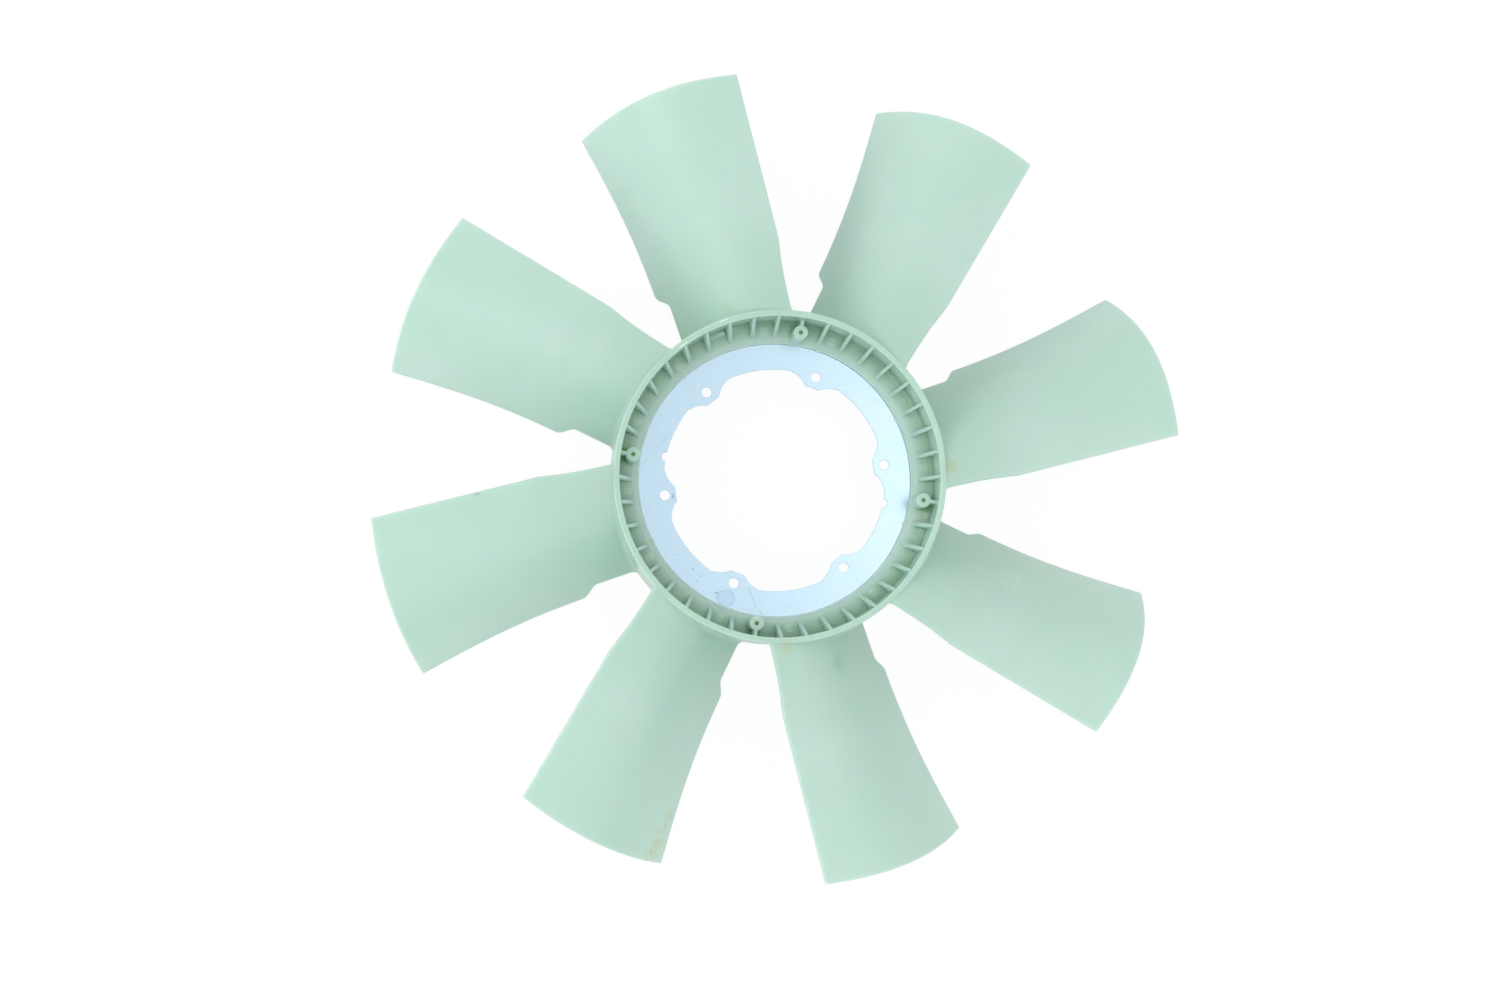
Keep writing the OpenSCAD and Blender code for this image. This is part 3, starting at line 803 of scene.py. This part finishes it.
def last_share(r):
    """Share of the run at which the step beside the hub cuts the section off."""
    depth = LEAD_Z - mix(ROOT_TRAIL_Z, TRAIL_Z, smooth(r, STEP_R - STEP_LEN, STEP_R))
    target = (depth - thick_at(r, 1) / 2) / DROP
    low, high = 0.0, 1.0
    for _ in range(30):
        half = (low + high) / 2
        low, high = (half, high) if drop_share(r, half) < target else (low, half)
    return low


def face_frame(r, s):
    """A point of the front face, and the direction in which the face runs there."""
    start = thick_at(r, 0) / 2
    run = r * math.radians(trail_angle(r) - lead_angle(r)) - start
    steep = DROP / run * (EVEN_SLOPE + (1 - EVEN_SLOPE) * bend(r) * s ** (bend(r) - 1))
    along = Vector((1, -steep)).normalized()
    return Vector((start + run * s, LEAD_Z - DROP * drop_share(r, s))), along


def front_growth(r, s, grow):
    """The root fillet on the front face, which fades out towards the leading edge."""
    return grow * smooth(DROP * drop_share(r, s), 0, FILLET_FADE)


def blade_section(r, grow, face_steps, nose_steps):
    """Outline of the section at a radius: front face, trailing edge, back, leading edge."""
    end = last_share(r)
    front, back, trail, lead = [], [], [], []
    for i in range(face_steps + 1):
        s = end * i / face_steps
        point, along = face_frame(r, s)
        normal = Vector((-along.y, along.x))
        front.append(point + normal * front_growth(r, s, grow))
        back.append(point - normal * (thick_at(r, s) + grow))
    for s, turn, edge in ((end, 90, trail), (0.0, -90, lead)):
        point, along = face_frame(r, s)
        normal = Vector((-along.y, along.x))
        half = thick_at(r, s) / 2
        for i in range(1, nose_steps):
            a = math.radians(turn - 180 * i / nose_steps)
            beyond = front_growth(r, s, grow) if math.sin(a) > 0 else grow
            edge.append(point - normal * half
                        + along * (half + NOSE_GROWTH * grow) * math.cos(a)
                        + normal * (half + beyond) * math.sin(a))
    points = front + trail + back[::-1] + lead
    first = lead_angle(r)
    return [(r, first + math.degrees(p.x / r), min(p.y, LEAD_Z)) for p in points]


# %% Stations of the loft
# A station is a radius and how much the section grows there for the root fillet
TIP_ROUND = 0.8
fillet = [(HUB_R + ROOT_FILLET * (1 - math.sin(math.radians(a))),
           ROOT_FILLET * (1 - math.cos(math.radians(a)))) for a in range(85, -1, -10)]
stations = (
    [(HUB_R - HUB_WALL / 2, fillet[0][1])]
    + fillet
    + [(mix(HUB_R + ROOT_FILLET, STEP_R - STEP_LEN, i / 5), 0) for i in range(1, 5)]
    + [(STEP_R - STEP_LEN + STEP_LEN * i / 10, 0) for i in range(11)]
    + [(mix(STEP_R, TIP_R - TIP_ROUND, i / 14), 0) for i in range(1, 15)]
    + [(TIP_R - TIP_ROUND * (1 - math.sin(math.radians(a))),
        -TIP_ROUND * (1 - math.cos(math.radians(a)))) for a in (30, 60, 90)]
)
print("the loft has", len(stations), "stations")

# %% Loft one blade, then copy it round
FACE_STEPS, NOSE_STEPS = 30, 8


def place_loop(loop, station):
    """Move a loop of corners to the blade's section at a station."""
    for vert, (r, angle, z) in zip(loop, blade_section(*station, FACE_STEPS, NOSE_STEPS)):
        a = math.radians(angle)
        vert.co = (r * math.cos(a), r * math.sin(a), z)


blade = bmesh.new()
loop = [blade.verts.new() for _ in range(2 * (FACE_STEPS + NOSE_STEPS))]
edges = [blade.edges.new((a, b)) for a, b in zip(loop, loop[1:] + loop[:1])]
place_loop(loop, stations[0])
root_edges = list(edges)
for station in stations[1:]:
    grown = bmesh.ops.extrude_edge_only(blade, edges=edges)["geom"]
    fresh = {g for g in grown if isinstance(g, bmesh.types.BMVert)}
    loop = [next(e.other_vert(v) for e in v.link_edges if e.other_vert(v) in fresh) for v in loop]
    edges = [blade.edges.get((a, b)) for a, b in zip(loop, loop[1:] + loop[:1])]
    place_loop(loop, station)

# The tip is closed between the front and back faces, then at its two round edges
front_edges = edges[:FACE_STEPS]
back_edges = edges[FACE_STEPS + NOSE_STEPS:2 * FACE_STEPS + NOSE_STEPS]
bmesh.ops.bridge_loops(blade, edges=front_edges + back_edges)
bmesh.ops.holes_fill(blade, edges=[e for e in blade.edges if e.is_boundary], sides=0)
bmesh.ops.holes_fill(blade, edges=root_edges, sides=0)
blades = turned_copies("blades", blade, [i * 360 / BLADES for i in range(BLADES)])

# %% [markdown]
# ## One moulding
# The real fan comes out of the mould as one body. Forms that only overlap would
# leave walls inside the plastic, and light that scatters in it would stop at
# them. So the Boolean modifier joins all of them into one closed skin, and the
# result is kept as a plain mesh, scaled from millimetres to metres. Faces that
# meet at a clear angle get a sharp edge, and all others shade smoothly, with
# the large faces leading.

# %% Join the forms
for form in (blades, ribs, bosses, ties, pads):
    joint = ring.modifiers.new("join_" + form.name, "BOOLEAN")
    joint.operation = "UNION"
    joint.solver = "MANIFOLD"
    joint.object = form
joined = ring.evaluated_get(bpy.context.evaluated_depsgraph_get())
skin = bpy.data.meshes.new_from_object(joined)
for form in (ring, blades, ribs, bosses, ties, pads):
    bpy.data.objects.remove(form)
print("joined skin:", len(skin.polygons), "faces")

# %% The finished moulding
SHARP_ANGLE = math.radians(32)

bm = bmesh.new()
bm.from_mesh(skin)
bmesh.ops.scale(bm, vec=(MM, MM, MM), verts=bm.verts)
for face in bm.faces:
    face.smooth = True
for edge in bm.edges:
    edge.smooth = edge.is_manifold and edge.calc_face_angle(0) < SHARP_ANGLE
print("moulding:", sum(not e.is_manifold for e in bm.edges), "open edges")
bm.to_mesh(skin)
bm.free()
skin.materials.clear()
skin.materials.append(polyamide)
print("moulding:", sum(len(p.vertices) - 2 for p in skin.polygons), "triangles")
fan = bpy.data.objects.new("fan_moulding_finished", skin)
bpy.context.scene.collection.objects.link(fan)
even_shading = fan.modifiers.new("even_shading", "WEIGHTED_NORMAL")
even_shading.keep_sharp = True
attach(fan, "root")
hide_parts("fan_moulding")

# %% [markdown]
# ## The steel disc
# The disc was punched from sheet: its opening, its six bolt tabs and their holes
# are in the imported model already, and drawn again they might not match it.
# But that mesh is loose triangles. So a copy is merged, and its coplanar
# triangles are dissolved into large faces, until only the real edges are left.
# Those get a small bevel, as the edge of a punched sheet is never quite sharp.

# %% A clean copy of the disc with rounded edges
PUNCHED_ROUND = 0.3
EDGE_ANGLE = math.radians(40)

bm = bmesh.new()
bm.from_mesh(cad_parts["steel_mounting_disc"].data)
bmesh.ops.remove_doubles(bm, verts=bm.verts, dist=0.00001)
bmesh.ops.dissolve_limit(bm, angle_limit=math.radians(1), verts=bm.verts, edges=bm.edges)
punched = [e for e in bm.edges if e.calc_face_angle(0) > EDGE_ANGLE]
bmesh.ops.bevel(bm, geom=punched, offset=PUNCHED_ROUND * MM, segments=2, profile=0.5,
                affect="EDGES", material=-1)
for face in bm.faces:
    face.smooth = True
disc = as_object("steel_disc_finished", bm)
disc.data.materials.append(steel)
flat_faces = disc.modifiers.new("flat_faces", "WEIGHTED_NORMAL")
flat_faces.weight = 100
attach(disc, "root")
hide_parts("steel_mounting_disc")

# %% [markdown]
# ## Floor and background
# The fan lies on its trailing edges, on a photographer's white sweep: a large
# pale floor under soft, even light from all round. What the camera sees of floor
# and background is mostly plain white, straight or in a reflection, and the rest
# is the floor's own shading, so that it keeps a faint shadow. A bigger lamp would
# whiten the floor as well, but it would bleach the plastic too.

# %% Floor
FLOOR = cad_low.z - 0.2 * MM
WHITE_SHARE = 0.9

floor_mesh = bpy.data.meshes.new("studio_floor")
bm = bmesh.new()
bmesh.ops.create_circle(bm, cap_ends=True, segments=96, radius=30,
                        matrix=Matrix.Translation((0, 0, FLOOR)))
bm.to_mesh(floor_mesh)
bm.free()
floor = bpy.data.objects.new("studio_floor", floor_mesh)
bpy.context.scene.collection.objects.link(floor)
floor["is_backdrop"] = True


def background_rays(tree):
    """1 for rays that show the background: straight, in a gloss or through glass."""
    rays = add_node(tree, "ShaderNodeLightPath")
    seen = add_node(tree, "ShaderNodeMath", {
        0: rays.outputs["Is Camera Ray"], 1: rays.outputs["Is Glossy Ray"]},
        operation="MAXIMUM")
    return add_node(tree, "ShaderNodeMath", {
        0: seen.outputs[0], 1: rays.outputs["Is Transmission Ray"]},
        operation="MAXIMUM").outputs[0]


paper, tree, shader, place = new_material("white_background_paper")
shader.inputs["Base Color"].default_value = linear("#FAFAFA")
shader.inputs["Roughness"].default_value = 0.9
share = add_node(tree, "ShaderNodeMath", {
    0: background_rays(tree), 1: WHITE_SHARE}, operation="MULTIPLY")
white = add_node(tree, "ShaderNodeEmission", {"Color": (1, 1, 1, 1), "Strength": 1.03})
blend = add_node(tree, "ShaderNodeMixShader", {
    0: share.outputs[0], 1: shader.outputs["BSDF"], 2: white.outputs[0]})
output = next(n for n in tree.nodes if n.type == "OUTPUT_MATERIAL")
tree.links.new(blend.outputs[0], output.inputs["Surface"])
floor_mesh.materials.append(paper)
print("floor at", round(FLOOR / MM, 2), "mm")

# %% World
world = bpy.data.worlds.new("soft_studio")
bpy.context.scene.world = world
world.use_nodes = True
tree = world.node_tree
tree.nodes.clear()
around = add_node(tree, "ShaderNodeBackground", {"Color": (1, 1, 1, 1), "Strength": 0.76})
backdrop = add_node(tree, "ShaderNodeBackground", {"Color": (1, 1, 1, 1), "Strength": 1.0})
sky = add_node(tree, "ShaderNodeMixShader", {
    0: background_rays(tree), 1: around.outputs[0], 2: backdrop.outputs[0]})
add_node(tree, "ShaderNodeOutputWorld", {"Surface": sky.outputs[0]})
print(world.name, "has", len(tree.nodes), "nodes")

# %% [markdown]
# ## Lamps
# Two big softboxes on the left model the blades with soft shadows, and a third
# above and to the right brightens the steel. Large lamps leave hardly any glint,
# so three small windows add one along the polished wall and the round edges.
# None of them shows itself to the camera.

# %% Lamps
def add_lamp(name, place, target, size, power, colour):
    """A square soft lamp that faces the target."""
    data = bpy.data.lights.new(name, "AREA")
    data.shape = "SQUARE"
    data.size = size
    data.energy = power
    data.color = linear(colour)[:3]
    lamp = bpy.data.objects.new(name, data)
    lamp.location = place
    lamp.visible_camera = False
    facing = Vector(target) - Vector(place)
    lamp.rotation_euler = facing.to_track_quat("-Z", "Y").to_euler()
    bpy.context.scene.collection.objects.link(lamp)
    return lamp


for name, place, size, power, colour in (
        ("left_rear_softbox", (-2.05, 0.8, 1.5), 1.3, 7.0, "#FFFDF8"),
        ("left_front_softbox", (-1.95, -1.0, 1.5), 1.3, 8.5, "#FFFDF8"),
        ("steel_softbox", (0.85, 0.1, 2.3), 0.9, 3.6, "#FFF4EA"),
        ("rear_window", (-2.0, 0.75, 1.4), 0.15, 1.2, "#FFFFFF"),
        ("side_window", (-1.9, -1.0, 1.4), 0.15, 1.2, "#FFFFFF"),
        ("front_window", (0.95, -1.75, 1.5), 0.15, 1.2, "#FFFFFF")):
    lamp = add_lamp(name, place, (0, 0, 0), size, power, colour)
    print(lamp.name, power, "W")

# %% [markdown]
# ## Camera
# The photograph was taken from about 2.3 m, a little to one side of the axis.
# Its place and turn were worked out from where the fan's circles and corners lie
# in the picture, so the camera is set by those numbers and not by eye. Each of
# the three directions below is one of the camera's own axes.

# %% Camera at the photograph's place
camera = bpy.data.objects.new("camera", bpy.data.cameras.new("camera"))
camera.data.sensor_width = 36
camera.data.lens = 63.16
right = (0.99588, -0.00575, 0.09045)
up = (0.0, 0.99798, 0.06349)
back = (-0.09063, -0.06323, 0.99387)
camera.matrix_world = Matrix((
    (right[0], up[0], back[0], -0.2321),
    (right[1], up[1], back[1], -0.1640),
    (right[2], up[2], back[2], 2.3004),
    (0, 0, 0, 1)))
bpy.context.scene.collection.objects.link(camera)
bpy.context.scene.camera = camera
bpy.context.scene.view_settings.view_transform = "Standard"
print("camera at", tuple(round(c, 4) for c in camera.matrix_world.translation), "metres")

# %% Sizes for the record, and the end
low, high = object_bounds()
print("visual box, metres:", tuple(low), tuple(high))
